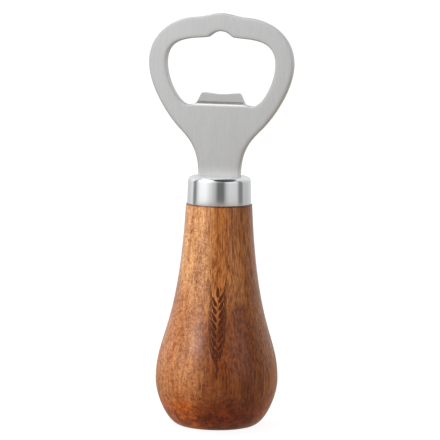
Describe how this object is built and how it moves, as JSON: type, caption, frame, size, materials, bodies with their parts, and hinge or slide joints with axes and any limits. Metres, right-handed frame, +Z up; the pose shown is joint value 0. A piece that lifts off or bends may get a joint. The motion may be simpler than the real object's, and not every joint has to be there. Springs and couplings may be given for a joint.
{
  "type": "bottle opener",
  "caption": "Upright crown-cap bottle opener: a flat brushed steel loop with a stepped lip, set through a steel ferrule into a turned hardwood handle that stands on its flat base.",
  "frame": {"origin": "centre of the handle's flat base", "axes": "+Z up through the handle to the top of the loop; the plate lies in the X-Z plane and its front, with the lip's step, looks along -Y"},
  "size_m": [0.0512, 0.042, 0.1409],
  "materials": {
    "turned_wood": "satin oiled reddish-brown hardwood, grain upright",
    "polished_steel": "polished drawn stainless steel",
    "brushed_steel": "stainless steel brushed along the handle, tumbled edges",
    "cured_epoxy": "cured clear amber adhesive"
  },
  "bodies": {
    "root": {"handle": "turned_wood", "ferrule": "polished_steel", "opener_plate": "brushed_steel", "tang_epoxy": "cured_epoxy"}
  },
  "joints": []
}
